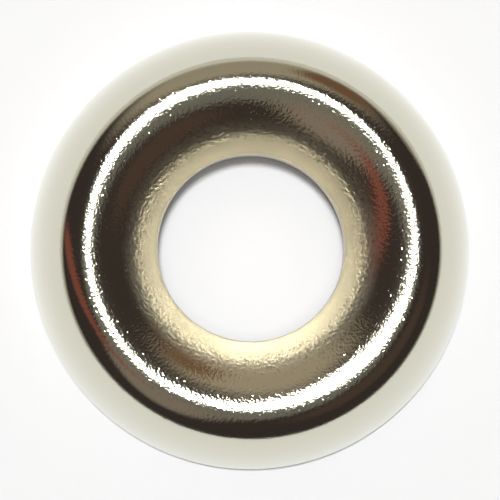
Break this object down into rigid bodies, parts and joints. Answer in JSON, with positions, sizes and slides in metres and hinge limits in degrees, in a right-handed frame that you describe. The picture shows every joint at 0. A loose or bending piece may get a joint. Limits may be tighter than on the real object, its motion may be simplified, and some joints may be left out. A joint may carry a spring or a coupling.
{
  "type": "finishing cup washer",
  "caption": "Raised cup washer of thin pressed sheet, with a rounded crest and a conical seat for the head of a countersunk screw.",
  "frame": {"origin": "centre of the seating plane, which the rim stands on", "axes": "+Z along the washer's axis, from the seating plane up to the crest; X and Y are free, as the washer is round"},
  "size_m": [0.0159, 0.0158, 0.0028],
  "materials": {
    "nickel_plate": "bright warm nickel plate over brass, with a faint pebbled grain from pressing"
  },
  "bodies": {
    "root": {"cup_washer": "nickel_plate"}
  },
  "joints": []
}
